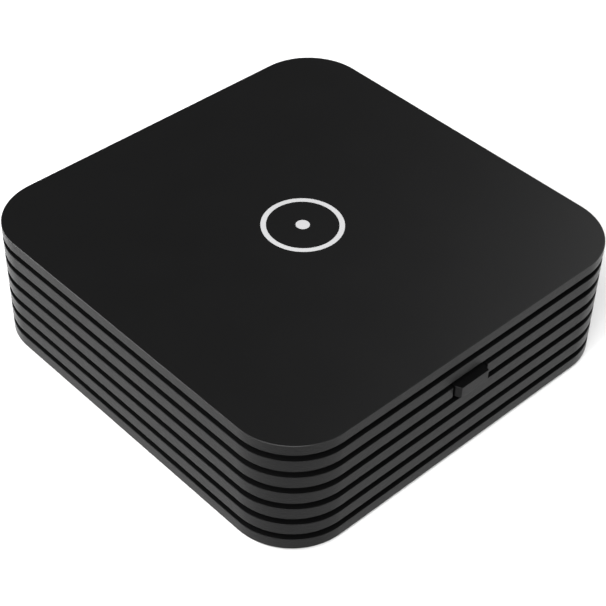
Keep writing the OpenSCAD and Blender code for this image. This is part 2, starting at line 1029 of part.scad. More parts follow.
module shutter_pin() {
    color(steel)
        on_rear(optical_x)
            translate([-optical_w / 2, -optical_axis_in, optical_axis_up])
                rotate([0, 90, 0])
                    cylinder(r = shutter_pin_r, h = optical_w);
}

module av_jack() {
    color(chip_black)
        on_rear(av_x)
            difference() {
                union() {
                    behind_face(av_depth - jack_body_from, jack_body_from) socket_rectangle(av_w, av_h);
                    rod_behind_face(av_nose_r, av_depth / 2, av_axis);
                }
                rod_behind_face(av_bore_r, av_bore_depth + 1, av_axis, -1);
            }
}

// ---- Side sockets ----

module usb_shell(y) {
    color(tin_grey)
        on_side(y)
            difference() {
                behind_face(usb_depth) socket_rectangle(usb_w, usb_h, usb_lift);
                behind_face(usb_depth + 2, -1)
                    socket_rectangle(usb_w, usb_h, usb_lift, -usb_wall);
            }
}

module usb_tongue(y) {
    color("white")
        on_side(y) {
            behind_face(usb_block, usb_depth - usb_block)
                socket_rectangle(usb_w, usb_h, usb_lift, -usb_wall);
            block(usb_tongue + [0, 1, 0], [
                0,
                -usb_depth + usb_block - 1,
                usb_lift + usb_h - usb_wall - usb_tongue_gap - usb_tongue[2]
            ]);
        }
}

module usb_shell_rear() { usb_shell(usb_rear_y); }
module usb_shell_front() { usb_shell(usb_front_y); }
module usb_tongue_rear() { usb_tongue(usb_rear_y); }
module usb_tongue_front() { usb_tongue(usb_front_y); }

module card_socket() {
    color(tin_grey)
        on_side(card_y)
            difference() {
                behind_face(card_depth) socket_rectangle(card_w, card_h);
                block(card_slot + [0, 1, 0], [0, -card_slot[1], card_slot_z]);
            }
}

// ---- Front controls ----

module front_board() {
    color(board_green)
        translate([front_board_left, front_board_y, front_board_low])
            cube([
                front_board_right - front_board_left,
                front_board_t,
                front_board_high - front_board_low
            ]);
}

// The button's outline seen from above: a slanted head, a straight shank and a wider flange
module power_button() {
    root = -half_w;
    front = root - button_out;
    shank = button_flange_y + button_flange[1] / 2;
    color(plastic_black) {
        translate([0, 0, button_low])
            linear_extrude(button_high - button_low)
                polygon([
                    [-button_w / 2, root],
                    [-button_w / 2 + button_slant, front],
                    [button_w / 2 - button_slant, front],
                    [button_w / 2, root],
                    [button_w / 2, shank],
                    [-button_w / 2, shank]
                ]);
        block(button_flange, [0, button_flange_y, button_mid - button_flange[2] / 2]);
    }
}

module power_switch() {
    color(chip_black)
        difference() {
            block(switch_size, [0, switch_face_y, button_mid - switch_size[2] / 2]);
            translate([0, switch_face_y + switch_hole_depth, button_mid])
                rotate([90, 0, 0])
                    cylinder(r = switch_plunger_r + switch_plunger_gap, h = switch_hole_depth + 1);
        }
}

module power_switch_plunger() {
    color("saddlebrown")
        translate([0, switch_plunger_back, button_mid])
            rotate([90, 0, 0])
                cylinder(r = switch_plunger_r, h = switch_plunger_back - switch_plunger_front);
}

module ir_receiver() {
    color(chip_black)
        translate([receiver_x, front_board_y, window_mid]) {
            block([5.6, 2.6, 6.4], [0, -2.6, -3.2]);
            rotate([90, 0, 0]) cylinder(r = 1.9, h = 3.4);
        }
}

module status_led() {
    color("lightblue")
        translate([lamp_x, front_board_y, window_mid]) rotate([90, 0, 0]) {
            cylinder(r = 1.9, h = 1);
            cylinder(r = 1.5, h = 4);
        }
}

module ir_window() {
    w = window_right - window_left;
    mid_x = (window_left + window_right) / 2;
    h = groove_h - 4 * panel_gap;
    color([0.1, 0.02, 0.03])
        translate([mid_x, -inner_plane, window_mid]) {
            block([w - 2 * panel_gap, wall_t + window_flange_t / 2, h], [0, -wall_t, -h / 2]);
            block(
                [w + 2 * window_flange_over, window_flange_t, h + 2 * window_flange_over],
                [0, 0, -h / 2 - window_flange_over]
            );
        }
}

// Sockets for the flat cable, one on the front board and one on the main board
module cable_sockets() {
    slot = cable_w + 0.2;
    slot_t = cable_t + 0.1;
    behind_board = front_board_y + front_board_t;
    color("ivory") {
        difference() {
            block(
                [cable_socket_w, cable_socket_deep, cable_socket_h],
                [cable_x, behind_board, cable_exit_z - cable_socket_h / 2]
            );
            block(
                [slot, cable_socket_deep, slot_t],
                [cable_x, behind_board + 1, cable_exit_z - slot_t / 2]
            );
        }
        difference() {
            block(
                [cable_socket_w, cable_socket_deep, cable_socket_top - board_top],
                [cable_x, cable_drop_y - cable_socket_deep / 2, board_top]
            );
            block(
                [slot, slot_t, cable_socket_deep],
                [cable_x, cable_drop_y - slot_t / 2, board_top + 1]
            );
        }
    }
}

// The flat cable leaves the front board level, bends down and drops into the main board's socket
module front_cable() {
    start_y = front_board_y + front_board_t + cable_seat;
    bend_y = cable_drop_y - cable_bend_r;
    bend_z = cable_exit_z - cable_bend_r;
    end_z = board_top + cable_seat;
    color("gainsboro") {
        block([cable_w, bend_y - start_y, cable_t], [cable_x, start_y, cable_exit_z - cable_t / 2]);
        translate([cable_x - cable_w / 2, bend_y, bend_z])
            rotate([90, 0, 90])
                rotate_extrude(angle = 90)
                    cable_section();
        block([cable_w, cable_t, bend_z - end_z], [cable_x, cable_drop_y - cable_t / 2, end_z]);
    }
}

module cable_section() {
    translate([cable_bend_r - cable_t / 2, 0]) square([cable_t, cable_w]);
}

module reset_switch() {
    color(chip_black)
        translate([reset_spot[0], reset_spot[1], 0])
            difference() {
                block(reset_size, [0, -reset_size[1] / 2, board_bottom - reset_size[2]]);
                translate([0, 0, board_bottom - reset_size[2] - 1])
                    cylinder(r = reset_hole_r, h = reset_hole_depth + 1);
            }
}

module reset_plunger() {
    color("white")
        translate([reset_spot[0], reset_spot[1], reset_plunger_low])
            cylinder(r = reset_plunger_r, h = reset_plunger_high - reset_plunger_low);
}

top_cover();
top_mark();
rib_frame();
bottom_cover();
rear_io_panel();
side_io_panel();
foot_front_left();
foot_front_right();
foot_rear_left();
foot_rear_right();
rating_label();
case_screws();
board_screws();
main_board();
soc_chip();
memory_chips();
flash_chip();
power_inductors();
capacitors();
crystal();
wifi_module();
wifi_shield();
wifi_antenna_left();
wifi_antenna_front();
antenna_cables();
antenna_plugs();
thermal_pad();
heat_sink();
heat_sink_pins();
heat_sink_springs();
dc_jack();
dc_jack_pin();
ethernet_jack();
ethernet_contacts();
hdmi_shell();
hdmi_tongue();
optical_port();
optical_lens();
optical_shutter();
shutter_pin();
av_jack();
usb_shell_rear();
usb_shell_front();
usb_tongue_rear();
usb_tongue_front();
card_socket();
front_board();
power_button();
power_switch();
power_switch_plunger();
ir_receiver();
status_led();
ir_window();
front_cable();
cable_sockets();
reset_switch();
reset_plunger();
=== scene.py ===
"""Looks of a square, ribbed media player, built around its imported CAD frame. Metres, +Z up, front at -Y."""

import json
import math

import bmesh
import bpy
from mathutils import Matrix, Quaternion, Vector


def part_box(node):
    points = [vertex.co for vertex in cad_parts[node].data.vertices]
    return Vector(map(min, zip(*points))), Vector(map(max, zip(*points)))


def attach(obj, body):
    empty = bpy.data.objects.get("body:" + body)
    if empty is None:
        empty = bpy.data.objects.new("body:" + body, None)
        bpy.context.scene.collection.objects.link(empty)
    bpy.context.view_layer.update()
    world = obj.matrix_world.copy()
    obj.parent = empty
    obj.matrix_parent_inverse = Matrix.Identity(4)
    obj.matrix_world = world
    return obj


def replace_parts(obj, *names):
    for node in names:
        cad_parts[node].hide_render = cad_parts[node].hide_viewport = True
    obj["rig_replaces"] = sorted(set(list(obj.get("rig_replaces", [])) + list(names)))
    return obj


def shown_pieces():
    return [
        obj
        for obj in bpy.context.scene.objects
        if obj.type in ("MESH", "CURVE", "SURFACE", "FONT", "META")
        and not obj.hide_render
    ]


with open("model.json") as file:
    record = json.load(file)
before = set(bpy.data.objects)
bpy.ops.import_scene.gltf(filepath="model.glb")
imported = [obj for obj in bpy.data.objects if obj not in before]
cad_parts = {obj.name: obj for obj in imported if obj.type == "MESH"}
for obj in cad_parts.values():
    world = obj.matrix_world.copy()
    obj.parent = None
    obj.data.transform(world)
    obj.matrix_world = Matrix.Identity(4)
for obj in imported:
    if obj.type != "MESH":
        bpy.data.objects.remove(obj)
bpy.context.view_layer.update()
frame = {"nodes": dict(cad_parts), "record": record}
scene = bpy.context.scene
MM = 0.001

# ---------------------------------------------------------------- Sizes, from the frame

frame_low, frame_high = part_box("rib_frame")
HALF = frame_high.x
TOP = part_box("top_cover")[1].z
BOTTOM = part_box("bottom_cover")[0].z
TOP_SEAM = frame_high.z
BOTTOM_SEAM = frame_low.z

CORNER_R = 15.7 * MM
STRAIGHT = 2 * (HALF - CORNER_R)
QUARTER = STRAIGHT + math.pi * CORNER_R / 2
GROOVE_DEPTH = 1.4 * MM
WALL = 1.4 * MM
INNER = GROOVE_DEPTH + WALL
PLATE = 2 * MM
PLATE_INSET = 7 * MM
GROOVES = 6
GROOVE_H = 1.84 * MM
PITCH = (TOP_SEAM - BOTTOM_SEAM - GROOVE_H) / (GROOVES - 1)
RIB_FILLET = 0.16 * MM
TOP_FILLET = 0.2 * MM
BASE_FILLET = 0.25 * MM
LIP_OUTER = INNER + 0.15 * MM
LIP_INNER = LIP_OUTER + 1.25 * MM
LIP_H = 2.2 * MM
FIT = 0.05 * MM


def groove_top(i):
    return TOP_SEAM - i * PITCH


def groove_bottom(i):
    return groove_top(i) - GROOVE_H


# ---------------------------------------------------------------- Mesh tools

def add_object(name, mesh):
    piece = bpy.data.objects.new(name, mesh)
    scene.collection.objects.link(piece)
    return piece


def solid(name, verts, faces):
    """A closed mesh object with its faces turned outwards."""
    mesh = bpy.data.meshes.new(name)
    mesh.from_pydata(verts, [], faces)
    bm = bmesh.new()
    bm.from_mesh(mesh)
    bmesh.ops.recalc_face_normals(bm, faces=bm.faces)
    bm.to_mesh(mesh)
    bm.free()
    return add_object(name, mesh)


def stacked(name, rings, closed=False):
    """A solid through rings of equally many points: capped at its two ends, or joined into a loop."""
    count = len(rings[0])
    verts = [p for ring in rings for p in ring]
    spans = len(rings) if closed else len(rings) - 1
    faces = []
    for i in range(spans):
        a = i * count
        b = (i + 1) % len(rings) * count
        for k in range(count):
            n = (k + 1) % count
            faces.append((a + k, a + n, b + n, b + k))
    if not closed:
        faces.append(tuple(range(count)))
        faces.append(tuple(range(len(verts) - count, len(verts))))
    return solid(name, verts, faces)


def arc(centre, r, start, end, steps):
    """Points on an arc, with its angles in degrees."""
    return [
        (
            centre[0] + r * math.cos(math.radians(start + (end - start) * i / steps)),
            centre[1] + r * math.sin(math.radians(start + (end - start) * i / steps)),
        )
        for i in range(steps + 1)
    ]


def box_piece(name, low, high, bevel=0.0, segments=2):
    bm = bmesh.new()
    bmesh.ops.create_cube(bm, size=1)
    size = Vector(high) - Vector(low)
    middle = (Vector(high) + Vector(low)) / 2
    bmesh.ops.transform(bm, matrix=Matrix.Translation(middle) @ Matrix.Diagonal((*size, 1)), verts=bm.verts)
    if bevel:
        bmesh.ops.bevel(bm, geom=bm.edges, offset=bevel, segments=segments, profile=0.5, affect="EDGES")
    mesh = bpy.data.meshes.new(name)
    bm.to_mesh(mesh)
    bm.free()
    return add_object(name, mesh)


def turned(name, profile, centre, axis="Z", steps=64):
    """A solid of revolution. The profile's points are (radius, height along the axis)."""
    rings = []
    for i in range(steps):
        a = 2 * math.pi * i / steps
        rings.append([(r * math.cos(a), r * math.sin(a), h) for r, h in profile])
    piece = stacked(name, rings, closed=True)
    if axis == "Y":
        piece.data.transform(Matrix.Rotation(-math.pi / 2, 4, "X"))
    if axis == "X":
        piece.data.transform(Matrix.Rotation(math.pi / 2, 4, "Y"))
    piece.data.transform(Matrix.Translation(centre))
    clean(piece)
    return piece


def clean(piece):
    """Merges points that coincide, and drops what collapses with them."""
    bm = bmesh.new()
    bm.from_mesh(piece.data)
    bmesh.ops.remove_doubles(bm, verts=bm.verts, dist=1e-7)
    bmesh.ops.dissolve_degenerate(bm, edges=bm.edges, dist=1e-7)
    bmesh.ops.recalc_face_normals(bm, faces=bm.faces)
    bm.to_mesh(piece.data)
    bm.free()


def combine(piece, others, operation):
    """Joins others to piece, or cuts them from it, and removes them."""
    for other in others:
        modifier = piece.modifiers.new("combine", "BOOLEAN")
        modifier.operation = operation
        modifier.solver = "EXACT"
        modifier.object = other
    evaluated = piece.evaluated_get(bpy.context.evaluated_depsgraph_get())
    mesh = bpy.data.meshes.new_from_object(evaluated)
    piece.modifiers.clear()
    piece.data = mesh
    for other in others:
        bpy.data.objects.remove(other)
    clean(piece)
    return piece


def shade(piece, sharp_angle=35):
    """Smooth shading with crisp edges, in which large flat faces stay flat."""
    bm = bmesh.new()
    bm.from_mesh(piece.data)
    limit = math.radians(sharp_angle)
    for face in bm.faces:
        face.smooth = True
    for edge in bm.edges:
        edge.smooth = len(edge.link_faces) == 2 and edge.calc_face_angle(0) < limit
    bm.to_mesh(piece.data)
    bm.free()
    weighted = piece.modifiers.new("flat faces", "WEIGHTED_NORMAL")
    weighted.keep_sharp = True
    weighted.weight = 90


# ---------------------------------------------------------------- The casing's outline

def outline_at(s):
    """The point and outward normal at distance s round the casing, from the middle of the front."""
    side, t = divmod(s + STRAIGHT / 2, QUARTER)
    if t <= STRAIGHT:
        point, normal = Vector((t - STRAIGHT / 2, -HALF, 0)), Vector((0, -1, 0))
    else:
        angle = (t - STRAIGHT) / CORNER_R - math.pi / 2
        normal = Vector((math.cos(angle), math.sin(angle), 0))
        point = Vector((STRAIGHT / 2, -STRAIGHT / 2, 0)) + CORNER_R * normal
    turn = Matrix.Rotation(side * math.pi / 2, 3, "Z")
    return turn @ point, turn @ normal


def knots(start, end, corner_steps=28, side_steps=6):
    """The distances round the casing where a sweep from start to end has its rings."""
    marks = [start, end]
    for side in range(-1, 6):
        origin = side * QUARTER - STRAIGHT / 2
        marks += [origin + STRAIGHT * i / side_steps for i in range(side_steps + 1)]
        marks += [origin + STRAIGHT + (QUARTER - STRAIGHT) * i / corner_steps for i in range(1, corner_steps)]
    inside = sorted(m for m in marks if start <= m <= end)
    kept = [inside[0]]
    for m in inside[1:]:
        if m - kept[-1] > 0.02 * MM:
            kept.append(m)
    kept[-1] = end
    return kept


def ring_at(s, profile):
    """A profile's points at distance s. Its X is the distance in from the outer face, its Y is the height."""
    point, normal = outline_at(s)
    return [(point.x - d * normal.x, point.y - d * normal.y, z) for d, z in profile]


def swept(name, profile):
    """A closed profile taken once round the casing."""
    stops = knots(0, 4 * QUARTER)[:-1]
    return stacked(name, [ring_at(s, profile) for s in stops], closed=True)


def rib_profile(low, high, inset=0.0):
    """A rib's section, rounded at its two outer edges and rooted a little way into the wall."""
    back = GROOVE_DEPTH + 0.3 * MM
    r = RIB_FILLET - inset
    lower = arc((inset + r, low + inset + r), r, 270, 180, 4)
    upper = arc((inset + r, high - inset - r), r, 180, 90, 4)
    return [(back, low + inset), *lower, *upper, (back, high - inset)]


def rib(name, low, high, start, end):
    """A stretch of rib with rounded ends."""
    cap = 0.75 * RIB_FILLET
    steps = 4
    ends = [
        (cap * (1 - math.cos(a)), cap * (1 - math.sin(a)))
        for a in [math.pi / 2 * i / steps for i in range(steps + 1)]
    ]
    rings = [ring_at(start + along, rib_profile(low, high, inset)) for along, inset in ends]
    middle = knots(start + cap, end - cap)[1:-1]
    rings += [ring_at(s, rib_profile(low, high)) for s in middle]
    rings += [ring_at(end - along, rib_profile(low, high, inset)) for along, inset in reversed(ends)]
    return stacked(name, rings)


def shell_with_plate(name, profile, plate_low, plate_high, inset):
    """An open profile swept round the casing, closed by a plate's two flat faces inside it.
    The profile runs from the plate's one face at inset, out round the rim, to its other face at inset."""
    stops = knots(0, 4 * QUARTER)[:-1]
    rings = [ring_at(s, [(inset, plate_high), *profile, (inset, plate_low)]) for s in stops]
    count = len(rings[0])
    verts = [p for ring in rings for p in ring]
    faces = []
    for i in range(len(rings)):
        a = i * count
        b = (i + 1) % len(rings) * count
        faces += [(a + k, a + k + 1, b + k + 1, b + k) for k in range(count - 1)]
    faces.append(tuple(i * count for i in range(len(rings))))
    faces.append(tuple(i * count + count - 1 for i in range(len(rings))))
    return solid(name, verts, faces)


# ---------------------------------------------------------------- Materials

def node(tree, kind, **values):
    made = tree.nodes.new(kind)
    for key, value in values.items():
        if key in made.inputs:
            made.inputs[key].default_value = value
        else:
            setattr(made, key, value)
    return made


def noise(tree, coordinates, scale, detail=3.0, roughness=0.5):
    made = node(tree, "ShaderNodeTexNoise", Scale=scale, Detail=detail, Roughness=roughness)
    tree.links.new(coordinates, made.inputs["Vector"])
    return made.outputs["Fac"]


def between(tree, value, low, high, from_low=0.0, from_high=1.0):
    """value taken from one range to another."""
    made = node(tree, "ShaderNodeMapRange")
    made.inputs["From Min"].default_value = from_low
    made.inputs["From Max"].default_value = from_high
    made.inputs["To Min"].default_value = low
    made.inputs["To Max"].default_value = high
    tree.links.new(value, made.inputs["Value"])
    return made.outputs["Result"]


def mix_colours(tree, factor, a, b):
    """Colour a where factor is 0 and b where it is 1. Either may be a colour or an output."""
    made = node(tree, "ShaderNodeMix", data_type="RGBA")
    tree.links.new(factor, made.inputs[0])
    for socket, colour in ((made.inputs[6], a), (made.inputs[7], b)):
        if isinstance(colour, tuple):
            socket.default_value = (*colour, 1)
        else:
            tree.links.new(colour, socket)
    return made.outputs[2]


def edge_mask(tree, radius):
    """1 on convex or concave edges within radius, 0 on flat surfaces."""
    rounded = node(tree, "ShaderNodeBevel", samples=4)
    rounded.inputs["Radius"].default_value = radius
    flat = node(tree, "ShaderNodeNewGeometry")
    dot = node(tree, "ShaderNodeVectorMath", operation="DOT_PRODUCT")
    tree.links.new(rounded.outputs["Normal"], dot.inputs[0])
    tree.links.new(flat.outputs["Normal"], dot.inputs[1])
    return between(tree, dot.outputs["Value"], 0.0, 1.0, 0.995, 0.85)


def tinted(colour, factor):
    return tuple(min(1.0, c * factor) for c in colour)


def finish_material(
    name,
    colour,
    rough=(0.3, 0.4),
    metallic=0.0,
    mottle=0.12,
    mottle_scale=60.0,
    grain=0.0,
    grain_scale=4000.0,
    grain_depth=0.01,
    wear=0.0,
    wear_radius=0.2 * MM,
    ior=1.5,
    brushed=None,
):
    """A surface with uneven colour and gloss, a fine grain, and edges that are worn lighter.
    brushed is a scale for each axis that stretches the grain into lines."""
    material = bpy.data.materials.new(name)
    material.use_nodes = True
    tree = material.node_tree
    shader = tree.nodes["Principled BSDF"]
    shader.inputs["Metallic"].default_value = metallic
    shader.inputs["IOR"].default_value = ior
    place = node(tree, "ShaderNodeTexCoord").outputs["Object"]
    patches = noise(tree, place, mottle_scale)
    fine_place = place
    if brushed:
        stretch = node(tree, "ShaderNodeMapping")
        stretch.inputs["Scale"].default_value = brushed
        tree.links.new(place, stretch.inputs["Vector"])
        fine_place = stretch.outputs["Vector"]
    fine = noise(tree, fine_place, grain_scale, detail=2.0, roughness=0.6)
    body = mix_colours(
        tree,
        between(tree, patches, 0.0, 1.0, 0.3, 0.7),
        tinted(colour, 1 - mottle),
        tinted(colour, 1 + mottle),
    )
    if wear:
        worn = node(tree, "ShaderNodeMath", operation="MULTIPLY")
        tree.links.new(edge_mask(tree, wear_radius), worn.inputs[0])
        tree.links.new(between(tree, noise(tree, place, 900.0), 0.2, 1.0, 0.35, 0.65), worn.inputs[1])
        body = mix_colours(tree, worn.outputs[0], body, tuple(c + wear for c in colour))
    tree.links.new(body, shader.inputs["Base Color"])
    gloss = node(tree, "ShaderNodeMath", operation="ADD")
    half_spread = (rough[1] - rough[0]) / 2
    tree.links.new(between(tree, patches, rough[0], rough[0] + half_spread, 0.3, 0.7), gloss.inputs[0])
    tree.links.new(between(tree, fine, 0.0, half_spread, 0.3, 0.7), gloss.inputs[1])
    tree.links.new(gloss.outputs[0], shader.inputs["Roughness"])
    if grain:
        bump = node(tree, "ShaderNodeBump")
        bump.inputs["Strength"].default_value = grain
        bump.inputs["Distance"].default_value = grain_depth * MM
        tree.links.new(fine, bump.inputs["Height"])
        tree.links.new(bump.outputs["Normal"], shader.inputs["Normal"])
    return material


def cover_plastic():
    """The satin top, with a very fine even grain."""
    return finish_material(
        "cover_plastic", (0.0030, 0.0030, 0.0031), rough=(0.36, 0.38), mottle=0.04, grain=0.25,
        grain_scale=6000.0, grain_depth=0.008, wear=0.003, ior=1.41
    )


def grained_plastic(name):
    """The ribs and the base, with a grain that is drawn out along the ribs."""
    return finish_material(
        name, (0.0030, 0.0030, 0.0031), rough=(0.28, 0.38), mottle=0.14, grain=0.8, grain_scale=3600.0,
        grain_depth=0.07, wear=0.004, ior=1.225, brushed=(0.3, 0.3, 1.0)
    )


MATERIALS = {
    "cover_plastic": cover_plastic(),
    "rib_plastic": grained_plastic("rib_plastic"),
    "base_plastic": grained_plastic("base_plastic"),
    "mark_inlay": finish_material(
        "mark_inlay", (0.43, 0.43, 0.435), rough=(0.35, 0.5), mottle=0.03, grain=0.2, grain_scale=5000.0
    ),
    "label_film": finish_material(
        "label_film", (0.30, 0.30, 0.31), rough=(0.28, 0.4), metallic=0.4, mottle=0.05, grain=0.2
    ),
    "foot_rubber": finish_material(
        "foot_rubber", (0.018, 0.018, 0.018), rough=(0.7, 0.85), mottle=0.2, grain=0.9, grain_scale=2200.0,
        grain_depth=0.04, wear=0.02
    ),
    "screw_steel": finish_material(
        "screw_steel", (0.42, 0.42, 0.43), rough=(0.25, 0.4), metallic=1.0, grain=0.3, wear=0.15
    ),
    "board_laminate": finish_material(
        "board_laminate", (0.010, 0.085, 0.035), rough=(0.25, 0.4), mottle=0.25, mottle_scale=150.0,
        grain=0.4, grain_scale=1500.0
    ),
    "chip_resin": finish_material(
        "chip_resin", (0.02, 0.02, 0.022), rough=(0.5, 0.65), grain=0.6, grain_scale=3000.0, wear=0.02
    ),
    "can_aluminium": finish_material(
        "can_aluminium", (0.72, 0.72, 0.74), rough=(0.2, 0.35), metallic=1.0, grain=0.2
    ),
    "sink_aluminium": finish_material(
        "sink_aluminium", (0.62, 0.62, 0.64), rough=(0.35, 0.5), metallic=1.0, grain=0.4,
        brushed=(1.0, 0.03, 1.0)
    ),
    "shield_steel": finish_material(
        "shield_steel", (0.55, 0.54, 0.52), rough=(0.22, 0.38), metallic=1.0, mottle=0.1, mottle_scale=250.0,
        grain=0.35, grain_scale=2500.0, grain_depth=0.01, wear=0.2, brushed=(0.06, 1.0, 1.0)
    ),
    "antenna_foil": finish_material(
        "antenna_foil", (0.62, 0.36, 0.16), rough=(0.3, 0.4), metallic=1.0, grain=0.2
    ),
    "contact_gold": finish_material(
        "contact_gold", (0.83, 0.60, 0.24), rough=(0.18, 0.3), metallic=1.0, mottle=0.06, grain=0.2, wear=0.1
    ),
    "cable_jacket": finish_material(
        "cable_jacket", (0.03, 0.03, 0.03), rough=(0.3, 0.45), grain=0.3
    ),
    "pad_silicone": finish_material(
        "pad_silicone", (0.30, 0.38, 0.45), rough=(0.6, 0.75), grain=0.5, grain_scale=1500.0
    ),
    "insert_plastic": finish_material(
        "insert_plastic", (0.72, 0.72, 0.69), rough=(0.4, 0.55), mottle=0.04, grain=0.4, wear=0.05
    ),
    "plunger_plastic": finish_material(
        "plunger_plastic", (0.16, 0.07, 0.03), rough=(0.35, 0.5), grain=0.3, wear=0.05
    ),
    "socket_plastic": finish_material(
        "socket_plastic", (0.013, 0.013, 0.014), rough=(0.38, 0.52), mottle=0.15, grain=0.6,
        grain_scale=3200.0, grain_depth=0.015, wear=0.02
    ),
    "red_lens": finish_material("red_lens", (0.35, 0.012, 0.010), rough=(0.05, 0.12), mottle=0.1),
    "lamp_resin": finish_material("lamp_resin", (0.55, 0.62, 0.70), rough=(0.08, 0.16), mottle=0.05),
    "window_plastic": finish_material(
        "window_plastic", (0.006, 0.004, 0.0045), rough=(0.12, 0.2), mottle=0.2, grain=0.15, ior=1.55
    ),
    "flat_cable": finish_material(
        "flat_cable", (0.68, 0.68, 0.70), rough=(0.25, 0.4), mottle=0.05, grain=0.3, brushed=(6.0, 0.1, 0.1)
    ),
}


def dress(piece, slot, body, *cad_nodes):
    """Gives a new piece the material of its slot, its body and the CAD nodes that it stands for."""
    piece.data.materials.clear()
    piece.data.materials.append(MATERIALS[slot])
    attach(piece, body)
    if cad_nodes:
        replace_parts(piece, *cad_nodes)


# ---------------------------------------------------------------- Casing pieces

def bosses(name, spots, r, low, high):
    """Upright round posts."""
    steps = 48
    made = []
    for i, (x, y) in enumerate(spots):
        rings = [
            [
                (x + r * math.cos(2 * math.pi * k / steps), y + r * math.sin(2 * math.pi * k / steps), z)
                for k in range(steps)
            ]
            for z in (low, high)
        ]
        made.append(stacked(f"{name}_{i}", rings))
    return made


foot_low, foot_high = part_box("foot_rear_right")
SCREW_PLACE = (foot_low.x + foot_high.x) / 2
CORNERS = [(sx * SCREW_PLACE, sy * SCREW_PLACE) for sx in (-1, 1) for sy in (-1, 1)]


def make_top_cover():
    edge = arc((TOP_FILLET, TOP - TOP_FILLET), TOP_FILLET, 90, 180, 8)
    under = arc((RIB_FILLET, TOP_SEAM + RIB_FILLET), RIB_FILLET, 180, 270, 4)
    profile = [
        *edge,
        *under,
        (LIP_OUTER, TOP_SEAM),
        (LIP_OUTER, TOP_SEAM - LIP_H),
        (LIP_INNER, TOP_SEAM - LIP_H),
        (LIP_INNER, TOP - PLATE),
    ]
    cover = shell_with_plate("top_cover_shell", profile, TOP - PLATE, TOP, PLATE_INSET)
    post_r, post_low = 3.2 * MM, 7 * MM
    posts = bosses("post", CORNERS, post_r, post_low, TOP - PLATE / 2)
    combine(cover, posts, "UNION")
    mark_low, mark_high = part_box("top_mark")
    mark_line, dot_r = 1.3 * MM, 1.7 * MM
    ring_r = mark_high.x + FIT / 2
    ring_inner = ring_r - mark_line - FIT
    recess = turned(
        "recess",
        [(ring_inner, mark_low.z), (ring_r, mark_low.z), (ring_r, TOP + MM), (ring_inner, TOP + MM)],
        (0, 0, 0),
        steps=128,
    )
    dot = bosses("dot", [(0, 0)], dot_r + FIT / 2, mark_low.z, TOP + MM)
    pilot_r, pilot_low, pilot_high = 1.1 * MM, 6 * MM, 17 * MM
    pilots = bosses("pilot", CORNERS, pilot_r, pilot_low, pilot_high)
    combine(cover, [recess, *dot, *pilots], "DIFFERENCE")
    shade(cover)
    dress(cover, "cover_plastic", "casing", "top_cover")
    cover.data.materials.append(MATERIALS["rib_plastic"])
    for face in cover.data.polygons:
        if face.center.z < TOP - TOP_FILLET:
            face.material_index = 1


def window_cut(name, across, low, high, side):
    """A block that cuts an opening across the middle of a side, where side 0 is the front and 1 the right."""
    cutter = box_piece(
        name, (-across, -HALF - MM, low), (across, -HALF + INNER + MM, high)
    )
    cutter.data.transform(Matrix.Rotation(side * math.pi / 2, 4, "Z"))
    return cutter


def make_rib_frame():
    rear_half = 37 * MM
    side_half = 28 * MM
    button_half = 5.55 * MM
    button_gap = 0.25 * MM
    window_gap = 0.1 * MM
    window_flange = 1.3 * MM
    wall = swept(
        "rib_frame_shell",
        [(INNER, BOTTOM_SEAM), (GROOVE_DEPTH, BOTTOM_SEAM), (GROOVE_DEPTH, TOP_SEAM), (INNER, TOP_SEAM)],
    )
    ribs = []
    step_back = 0.05 * MM
    for i in range(1, GROOVES):
        low, high = groove_top(i), groove_bottom(i - 1)
        gaps = []
        if i == 2:
            gaps.append((4 * QUARTER - button_half - step_back, 4 * QUARTER + button_half + step_back))
        if i in (2, 3, 4):
            gaps.append((2 * QUARTER - rear_half - step_back, 2 * QUARTER + rear_half + step_back))
        if i in (3, 4):
            gaps.append((QUARTER - side_half - step_back, QUARTER + side_half + step_back))
        gaps.sort()
        if not gaps:
            ribs.append(swept(f"rib_{i}", rib_profile(low, high)))
            continue
        for k, gap in enumerate(gaps):
            following = gaps[k + 1] if k + 1 < len(gaps) else (gaps[0][0] + 4 * QUARTER, 0)
            ribs.append(rib(f"rib_{i}_{k}", low, high, gap[1], following[0]))
    combine(wall, ribs, "UNION")
    window_low, window_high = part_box("ir_window")
    slot_low = groove_bottom(3) + window_gap
    slot_high = groove_top(3) - window_gap
    button_low = groove_top(2) - button_gap
    button_high = groove_bottom(1) + button_gap
    cutters = [
        window_cut("rear_cut", rear_half, groove_bottom(4), groove_bottom(1), 2),
        window_cut("side_cut", side_half, groove_bottom(4), groove_bottom(2), 1),
        window_cut("button_cut", button_half, button_low, button_high, 0),
        box_piece(
            "window_cut",
            (window_low.x + window_flange, -HALF - MM, slot_low),
            (window_high.x - window_flange, -HALF + INNER + MM, slot_high),
        ),
    ]
    combine(wall, cutters, "DIFFERENCE")
    shade(wall)
    dress(wall, "rib_plastic", "casing", "rib_frame")


def slot_cutter(name, centre, half_w, half_l, low, high):
    """An upright slot with round ends, long along Y."""
    steps = 12
    straight = half_l - half_w
    outline = [(centre[0] + x, centre[1] + straight + y) for x, y in arc((0, 0), half_w, 0, 180, steps)]
    outline += [(centre[0] + x, centre[1] - straight + y) for x, y in arc((0, 0), half_w, 180, 360, steps)]
    return stacked(name, [[(x, y, z) for x, y in outline] for z in (low, high)])


